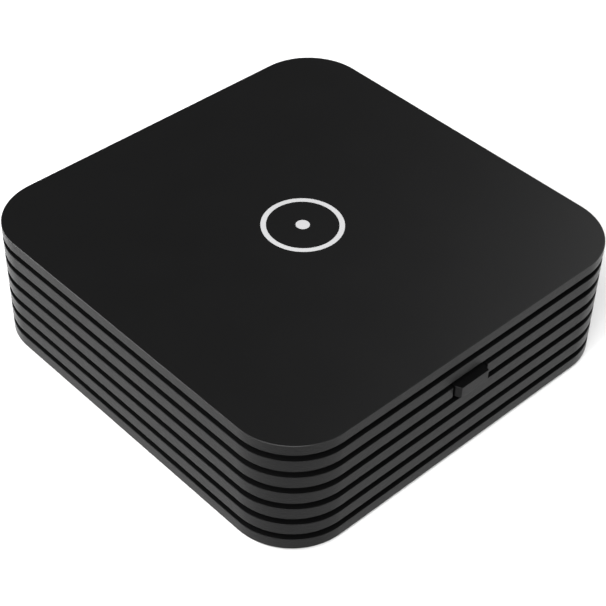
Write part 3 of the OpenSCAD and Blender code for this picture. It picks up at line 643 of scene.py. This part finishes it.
def front_board_posts(floor_z):
    """The two posts that hold the front board's ends, and the slots in them."""
    low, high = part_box("front_board")
    middle = (low.y + high.y) / 2
    half_w, half_l, height = 2 * MM, 3 * MM, 21 * MM
    slot_half_w, slot_half_l = 1.7 * MM, 0.7 * MM
    posts = []
    slots = []
    for side, edge in ((-1, low.x), (1, high.x)):
        post_x = edge + side * 0.6 * MM
        slot_x = edge - side * 0.3 * MM
        posts.append(
            box_piece(
                f"board_post_{side}",
                (post_x - half_w, middle - half_l, floor_z - 0.2 * MM),
                (post_x + half_w, middle + half_l, floor_z + height),
            )
        )
        slots.append(
            box_piece(
                f"board_slot_{side}",
                (slot_x - slot_half_w, middle - slot_half_l, low.z),
                (slot_x + slot_half_w, middle + slot_half_l, low.z + height),
            )
        )
    return posts, slots


def make_bottom_cover():
    floor_z = BOTTOM + PLATE
    lower = arc((BASE_FILLET, BOTTOM + BASE_FILLET), BASE_FILLET, 180, 270, 8)
    upper = arc((RIB_FILLET, BOTTOM_SEAM - RIB_FILLET), RIB_FILLET, 90, 180, 4)
    profile = [
        (LIP_INNER, floor_z),
        (LIP_INNER, BOTTOM_SEAM + LIP_H),
        (LIP_OUTER, BOTTOM_SEAM + LIP_H),
        (LIP_OUTER, BOTTOM_SEAM),
        *upper,
        *lower,
    ]
    cover = shell_with_plate("bottom_cover_shell", profile, BOTTOM, floor_z, PLATE_INSET)
    well_r, well_high = 4.2 * MM, 7 * MM
    wells = bosses("well", CORNERS, well_r, floor_z - PLATE / 2, well_high)
    stand_r = 3 * MM
    stand_spots = [(x * MM, y * MM) for y in (-32, 30) for x in (-44, 44)]
    stands = bosses("stand", stand_spots, stand_r, floor_z - PLATE / 2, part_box("main_board")[0].z)
    posts, post_slots = front_board_posts(floor_z)
    combine(cover, [*wells, *stands, *posts], "UNION")
    label_low, label_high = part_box("rating_label")
    seat_gap = 0.1 * MM
    foot_radius = (foot_high.x - foot_low.x) / 2 + seat_gap
    head_r, head_high = 2.9 * MM, 4.2 * MM
    hole_r, hole_high = 1.5 * MM, 8 * MM
    pinhole_place, pinhole_r = (24 * MM, -30 * MM), MM
    cutters = [
        *post_slots,
        *bosses("recess", CORNERS, foot_radius, BOTTOM - MM, foot_high.z),
        *bosses("pocket", CORNERS, head_r, BOTTOM - MM, head_high),
        *bosses("hole", CORNERS, hole_r, BOTTOM - MM, hole_high),
        *bosses("pinhole", [pinhole_place], pinhole_r, BOTTOM - MM, floor_z + MM),
        box_piece(
            "label_recess",
            (label_low.x - seat_gap, label_low.y - seat_gap, BOTTOM - MM),
            (label_high.x + seat_gap, label_high.y + seat_gap, label_high.z),
        ),
    ]
    vent_pitch, vent_y, vent_half_w, vent_half_l = 5 * MM, 18 * MM, MM, 12 * MM
    for i in range(-4, 5):
        place = (vent_pitch * i, vent_y)
        cutters.append(slot_cutter(f"vent_{i}", place, vent_half_w, vent_half_l, BOTTOM - MM, floor_z + MM))
    combine(cover, cutters, "DIFFERENCE")
    shade(cover)
    dress(cover, "base_plastic", "casing", "bottom_cover")


def make_button():
    """The slanted head comes through the rib, and a flange holds it behind the wall."""
    low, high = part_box("power_button")
    rib_low, rib_high = groove_top(2), groove_bottom(1)
    root = -HALF
    half_root = 5 * MM
    slant = 0.65 * MM
    half_face = half_root - slant
    flange_t = 0.8 * MM
    flange_front = high.y - flange_t
    shank_back = flange_front + flange_t / 2
    outline = [
        (-half_root, root),
        (-half_face, low.y),
        (half_face, low.y),
        (half_root, root),
        (half_root, shank_back),
        (-half_root, shank_back),
    ]
    head = stacked("power_button_cap", [[(x, y, z) for x, y in outline] for z in (rib_low, rib_high)])
    bm = bmesh.new()
    bm.from_mesh(head.data)
    bmesh.ops.bevel(bm, geom=bm.edges, offset=0.12 * MM, segments=3, profile=0.5, affect="EDGES")
    bm.to_mesh(head.data)
    bm.free()
    flange = box_piece("flange", (low.x, flange_front, low.z), high, 0.15 * MM)
    combine(head, [flange], "UNION")
    shade(head)
    dress(head, "rib_plastic", "button", "power_button")


make_top_cover()
make_rib_frame()
make_bottom_cover()
make_button()


# ---------------------------------------------------------------- Sockets
# Each is made with its face at Y = 0, its depth towards -Y and its base on the board at Z = 0.

BOARD_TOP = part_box("main_board")[1].z


def rounded(corners, r, offset, steps=6):
    """A convex outline with rounded corners, drawn out by offset. Corners run anticlockwise."""
    points = []
    count = len(corners)
    for i in range(count):
        before, here, after = (Vector(corners[(i + k) % count]) for k in (-1, 0, 1))
        into = (here - before).normalized()
        out = (after - here).normalized()
        turn = into.angle_signed(out)
        bend = abs(turn)
        centre = here + (out - into).normalized() * r / math.cos(bend / 2)
        start = math.atan2(-into.x, into.y)
        for k in range(steps + 1):
            a = start + bend * k / steps
            points.append(centre + (r + offset) * Vector((math.cos(a), math.sin(a))))
    return [(p.x, p.y) for p in points]


def rectangle(w, low, high):
    return [(-w / 2, low), (w / 2, low), (w / 2, high), (-w / 2, high)]


def plane_ring(outline, y):
    return [(x, y, z) for x, z in outline]


def sleeve(name, corners, r, wall, depth, flare=0.0):
    """A sheet-metal tube with a rolled rim, which may flare inwards at its mouth."""
    steps = 6
    rim = arc((-wall / 2, -wall / 2), wall / 2, 0, 180, steps)
    rings = [plane_ring(rounded(corners, r, 0), -depth)]
    rings += [plane_ring(rounded(corners, r, offset), y) for offset, y in rim]
    if flare:
        rings.append(plane_ring(rounded(corners, r, -wall - flare), -wall - 2 * flare))
        rings.append(plane_ring(rounded(corners, r, -wall), -wall - 6 * flare))
    rings.append(plane_ring(rounded(corners, r, -wall), -depth))
    return stacked(name, rings, closed=True)


def block_behind(name, corners, r, start, depth, bevel=0.15 * MM):
    """A plug of an outline's shape between two depths, with its front edge softened."""
    rings = [
        plane_ring(rounded(corners, r, 0), -depth),
        plane_ring(rounded(corners, r, 0), -start - bevel),
        plane_ring(rounded(corners, r, -0.3 * bevel), -start - 0.3 * bevel),
        plane_ring(rounded(corners, r, -bevel), -start),
    ]
    return stacked(name, rings)


def spring_tab(name, centre_x, width, root_z, reach, start, length, thick=0.15 * MM):
    """A strip that starts in a wall at root_z and bows into the socket by reach."""
    steps = 10
    rings = []
    for k in range(steps + 1):
        t = k / steps
        y = -start - length * t
        z = root_z + reach * math.sin(math.pi * min(0.999, 1.15 * t))
        low, high = sorted((z - math.copysign(thick, reach), z))
        rings.append(
            [
                (centre_x - width / 2, y, low),
                (centre_x + width / 2, y, low),
                (centre_x + width / 2, y, high),
                (centre_x - width / 2, y, high),
            ]
        )
    return stacked(name, rings)


def on_rear(piece, node_name):
    low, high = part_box(node_name)
    piece.data.transform(Matrix.Translation(((low.x + high.x) / 2, high.y, BOARD_TOP)))


def on_side(piece, node_name):
    low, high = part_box(node_name)
    turn = Matrix.Rotation(-math.pi / 2, 4, "Z")
    piece.data.transform(Matrix.Translation((high.x, (low.y + high.y) / 2, BOARD_TOP)) @ turn)


def make_ethernet_jack():
    node_name = "ethernet_jack"
    low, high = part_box(node_name)
    w, h, depth = high.x - low.x, high.z - low.z, high.y - low.y
    wall = 0.4 * MM
    contact_low, contact_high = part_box("ethernet_contacts")
    cavity_w = 11.9 * MM
    cavity_low = 2.9 * MM
    cavity_high = contact_high.z - BOARD_TOP
    cavity_depth = high.y - contact_low.y
    latch_w = 6.2 * MM
    latch_low = 0.7 * MM
    shell = sleeve("ethernet_shell", rectangle(w, 0, h), 0.6 * MM, wall, depth)
    shade(shell)
    on_rear(shell, node_name)
    dress(shell, "shield_steel", "casing", node_name)
    insert = block_behind(
        "ethernet_insert", rectangle(w - 2 * wall, wall, h - wall), 0.4 * MM, 0.5 * MM, depth - wall
    )
    cavity = box_piece(
        "cavity",
        (-cavity_w / 2, -cavity_depth, cavity_low),
        (cavity_w / 2, MM, cavity_high),
    )
    latch = box_piece(
        "latch", (-latch_w / 2, -cavity_depth, latch_low), (latch_w / 2, MM, cavity_low + 0.1 * MM)
    )
    lamp_x = 5.2 * MM
    lamp_holes = [
        box_piece("hole", (x - 1.3 * MM, -2 * MM, 0.8 * MM), (x + 1.3 * MM, MM, 2.3 * MM))
        for x in (-lamp_x, lamp_x)
    ]
    combine(insert, [cavity, latch, *lamp_holes], "DIFFERENCE")
    shade(insert)
    on_rear(insert, node_name)
    dress(insert, "socket_plastic", "casing")
    for side, x in (("left", -lamp_x), ("right", lamp_x)):
        lamp = box_piece(
            f"ethernet_lamp_{side}",
            (x - 1.25 * MM, -1.9 * MM, 0.85 * MM),
            (x + 1.25 * MM, -0.6 * MM, 2.25 * MM),
            0.15 * MM,
        )
        shade(lamp)
        on_rear(lamp, node_name)
        dress(lamp, "lamp_resin", "casing")


def make_hdmi():
    shell_low, shell_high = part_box("hdmi_shell")
    w, depth = shell_high.x - shell_low.x, shell_high.y - shell_low.y
    lift = shell_low.z - BOARD_TOP
    top = shell_high.z - BOARD_TOP
    waist = (lift + top) / 2
    foot_w = 10.6 * MM
    wall = 0.4 * MM
    corners = [
        (-foot_w / 2, lift), (foot_w / 2, lift), (w / 2, waist), (w / 2, top), (-w / 2, top), (-w / 2, waist)
    ]
    shell = sleeve("hdmi_sleeve", corners, 0.6 * MM, wall, depth)
    rooted = 0.02 * MM
    tabs = [
        spring_tab("tab", x, 2 * MM, top - wall + rooted, -0.4 * MM, 2 * MM, 5 * MM)
        for x in (-3.4 * MM, 3.4 * MM)
    ]
    tabs += [
        spring_tab("tab", x, 1.8 * MM, lift + wall - rooted, 0.4 * MM, 2 * MM, 5 * MM)
        for x in (-2.6 * MM, 2.6 * MM)
    ]
    combine(shell, tabs, "UNION")
    shade(shell)
    on_rear(shell, "hdmi_shell")
    dress(shell, "shield_steel", "casing", "hdmi_shell")
    tongue_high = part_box("hdmi_tongue")[1]
    contact_y = tongue_high.y - shell_high.y
    tongue_top = waist + 0.9 * MM
    bars = []
    for i in range(10):
        x = (i - 4.5) * MM
        bars.append(
            box_piece(
                "bar",
                (x - 0.23 * MM, contact_y - 5 * MM, tongue_top - 0.05 * MM),
                (x + 0.23 * MM, contact_y - 0.5 * MM, tongue_top + 0.06 * MM),
            )
        )
    contacts = bars.pop()
    contacts.name = "hdmi_contacts"
    combine(contacts, bars, "UNION")
    shade(contacts)
    on_rear(contacts, "hdmi_shell")
    dress(contacts, "contact_gold", "casing")


def make_usb(place):
    shell_name, tongue_name = f"usb_shell_{place}", f"usb_tongue_{place}"
    low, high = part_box(shell_name)
    w, depth = high.y - low.y, high.x - low.x
    lift, top = low.z - BOARD_TOP, high.z - BOARD_TOP
    wall = 0.3 * MM
    shell = sleeve(f"usb_sleeve_{place}", rectangle(w, lift, top), 0.5 * MM, wall, depth, 0.12 * MM)
    tabs = [
        spring_tab("tab", x, 1.7 * MM, root, reach, 1.6 * MM, 6 * MM)
        for x in (-3.3 * MM, 3.3 * MM)
        for root, reach in ((lift + wall - 0.02 * MM, 0.45 * MM), (top - wall + 0.02 * MM, -0.45 * MM))
    ]
    combine(shell, tabs, "UNION")
    shade(shell)
    on_side(shell, shell_name)
    dress(shell, "shield_steel", "casing", shell_name)
    tongue_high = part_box(tongue_name)[1]
    tip = tongue_high.x - high.x
    under = top - wall - 0.7 * MM - 1.8 * MM
    bars = [
        box_piece(
            "bar",
            (x - 0.5 * MM, tip - 7 * MM, under - 0.06 * MM),
            (x + 0.5 * MM, tip - 0.6 * MM, under + 0.1 * MM),
        )
        for x in (-3.5 * MM, -1 * MM, 1 * MM, 3.5 * MM)
    ]
    contacts = bars.pop()
    contacts.name = f"usb_contacts_{place}"
    combine(contacts, bars, "UNION")
    shade(contacts)
    on_side(contacts, shell_name)
    dress(contacts, "contact_gold", "casing")


def make_card_socket():
    node_name = "card_socket"
    low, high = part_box(node_name)
    w, h, depth = high.y - low.y, high.z - low.z, high.x - low.x
    wall = 0.2 * MM
    shell = sleeve("card_sleeve", rectangle(w, 0, h), 0.3 * MM, wall, depth)
    shade(shell)
    on_side(shell, node_name)
    dress(shell, "shield_steel", "casing", node_name)
    insert = block_behind(
        "card_insert", rectangle(w - 2 * wall, wall, h - wall), 0.1 * MM, 0.3 * MM, depth - wall, 0.05 * MM
    )
    slot = box_piece("slot", (-5.8 * MM, -13 * MM, 0.5 * MM), (5.8 * MM, MM, 1.5 * MM))
    combine(insert, [slot], "DIFFERENCE")
    shade(insert)
    on_side(insert, node_name)
    dress(insert, "socket_plastic", "casing")


def make_round_jack(node_name, nose_r, bore_r, bore_depth, axis, body_start, stub_r=0.0):
    """A jack with a round nose in the panel and a square body behind it."""
    low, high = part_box(node_name)
    depth = high.y - low.y
    chamfer = 0.35 * MM
    nose = turned(
        f"{node_name}_moulding",
        [
            (bore_r, -bore_depth),
            (bore_r, -1.2 * chamfer),
            (bore_r + 0.8 * chamfer, 0),
            (nose_r - 0.5 * chamfer, 0),
            (nose_r - 0.15 * chamfer, -0.15 * chamfer),
            (nose_r, -0.5 * chamfer),
            (nose_r, -bore_depth),
        ],
        (0, 0, axis),
        "Y",
    )
    half = (high.x - low.x) / 2
    body = box_piece("body", (-half, -depth, 0), (half, -body_start, high.z - BOARD_TOP), 0.3 * MM)
    bore = turned("bore", [(0, -bore_depth), (bore_r, -bore_depth), (bore_r, 0), (0, 0)], (0, 0, axis), "Y")
    cutters = [bore]
    if stub_r:
        stub = [(0, -depth - MM), (stub_r, -depth - MM), (stub_r, 0), (0, 0)]
        cutters.append(turned("stub", stub, (0, 0, axis), "Y", 32))
    combine(body, cutters, "DIFFERENCE")
    combine(nose, [body], "UNION")
    shade(nose)
    on_rear(nose, node_name)
    dress(nose, "socket_plastic", "casing", node_name)


def make_inlet_pin():
    node_name = "dc_jack_pin"
    low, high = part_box(node_name)
    r = (high.x - low.x) / 2
    length = high.y - low.y
    free = 10.5 * MM
    stub_r = 0.7 * MM
    profile = [(0, -length), (stub_r, -length), (stub_r, -free), (r, -free), *arc((0, -r), r, 0, 90, 6)]
    pin = turned("inlet_pin", profile, ((low.x + high.x) / 2, high.y, (low.z + high.z) / 2), "Y", 32)
    shade(pin)
    dress(pin, "screw_steel", "casing", node_name)


make_ethernet_jack()
make_hdmi()
make_usb("rear")
make_usb("front")
make_card_socket()
make_round_jack("dc_jack", 4 * MM, 3.1 * MM, 11.5 * MM, 6.5 * MM, 2.9 * MM, 0.7 * MM + FIT)
make_round_jack("av_jack", 2.9 * MM, 1.8 * MM, 12.5 * MM, 3.3 * MM, 2.9 * MM)
make_inlet_pin()


# ---------------------------------------------------------------- CAD nodes that stay

def keep_cad_nodes():
    """The CAD pieces that stay in view get their slot's material and slightly rounded edges."""
    slots = {row["node"]: row["material_slot"] for row in frame["record"]["subparts"]}
    hidden = {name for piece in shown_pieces() for name in piece.get("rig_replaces", [])}
    for name, piece in frame["nodes"].items():
        if name in hidden:
            continue
        piece.data.materials.clear()
        piece.data.materials.append(MATERIALS[slots[name]])
        smallest = min(piece.dimensions)
        weld = piece.modifiers.new("weld", "WELD")
        weld.merge_threshold = 1e-6
        bevel = piece.modifiers.new("soft edges", "BEVEL")
        bevel.width = min(0.08 * MM, smallest * 0.08)
        bevel.segments = 2
        bevel.limit_method = "ANGLE"
        bevel.angle_limit = math.radians(40)
        bevel.use_clamp_overlap = True
        weighted = piece.modifiers.new("flat faces", "WEIGHTED_NORMAL")
        weighted.keep_sharp = True


keep_cad_nodes()


# ---------------------------------------------------------------- Stage, light and camera

def make_floor():
    material = finish_material(
        "floor_paper", (0.86, 0.86, 0.86), rough=(0.8, 0.9), mottle=0.004, mottle_scale=2.0
    )
    reach = 6.0
    mesh = bpy.data.meshes.new("floor")
    mesh.from_pydata(
        [(-reach, -reach, 0), (reach, -reach, 0), (reach, reach, 0), (-reach, reach, 0)], [], [(0, 1, 2, 3)]
    )
    mesh.materials.append(material)
    add_object("floor", mesh)


# name, direction from the object, distance, width, height, power in watts
LIGHTS = [
    ("over_front", (-0.45, -0.45, 0.78), 1.6, 1.2, 1.2, 36.0),
    ("rear_left", (-0.60, 0.75, 0.50), 1.2, 0.6, 0.6, 16.5),
    ("left_spot", (-0.88, -0.17, 0.42), 0.9, 0.12, 0.12, 2.6),
    ("right_high", (0.75, 0.05, 0.65), 1.2, 0.6, 0.6, 3.8),
]
WORLD = 0.07


def make_lights():
    for name, direction, distance, width, height, power in LIGHTS:
        data = bpy.data.lights.new(name, "AREA")
        data.shape = "RECTANGLE"
        data.size = width
        data.size_y = height
        data.energy = power
        lamp = bpy.data.objects.new(name, data)
        lamp.location = distance * Vector(direction).normalized()
        lamp.rotation_euler = (-Vector(direction)).to_track_quat("-Z", "Y").to_euler()
        scene.collection.objects.link(lamp)
    world = bpy.data.worlds.new("studio")
    world.use_nodes = True
    background = world.node_tree.nodes["Background"]
    background.inputs["Color"].default_value = (1, 1, 1, 1)
    background.inputs["Strength"].default_value = WORLD
    scene.world = world


CAMERA_ROLL = -1.515


def make_camera():
    data = bpy.data.cameras.new("camera")
    data.lens = 94.77
    data.sensor_width = 36.0
    data.clip_start = 0.01
    camera = bpy.data.objects.new("camera", data)
    place = Vector((-0.20264, -0.21063, 0.27150))
    forward = Vector((0.51627, 0.53462, -0.66906))
    roll = Quaternion(forward, math.radians(CAMERA_ROLL))
    camera.location = place
    camera.rotation_mode = "QUATERNION"
    camera.rotation_quaternion = roll @ forward.to_track_quat("-Z", "Y")
    scene.collection.objects.link(camera)
    scene.camera = camera


make_floor()
make_lights()
make_camera()
scene.view_settings.view_transform = "Standard"
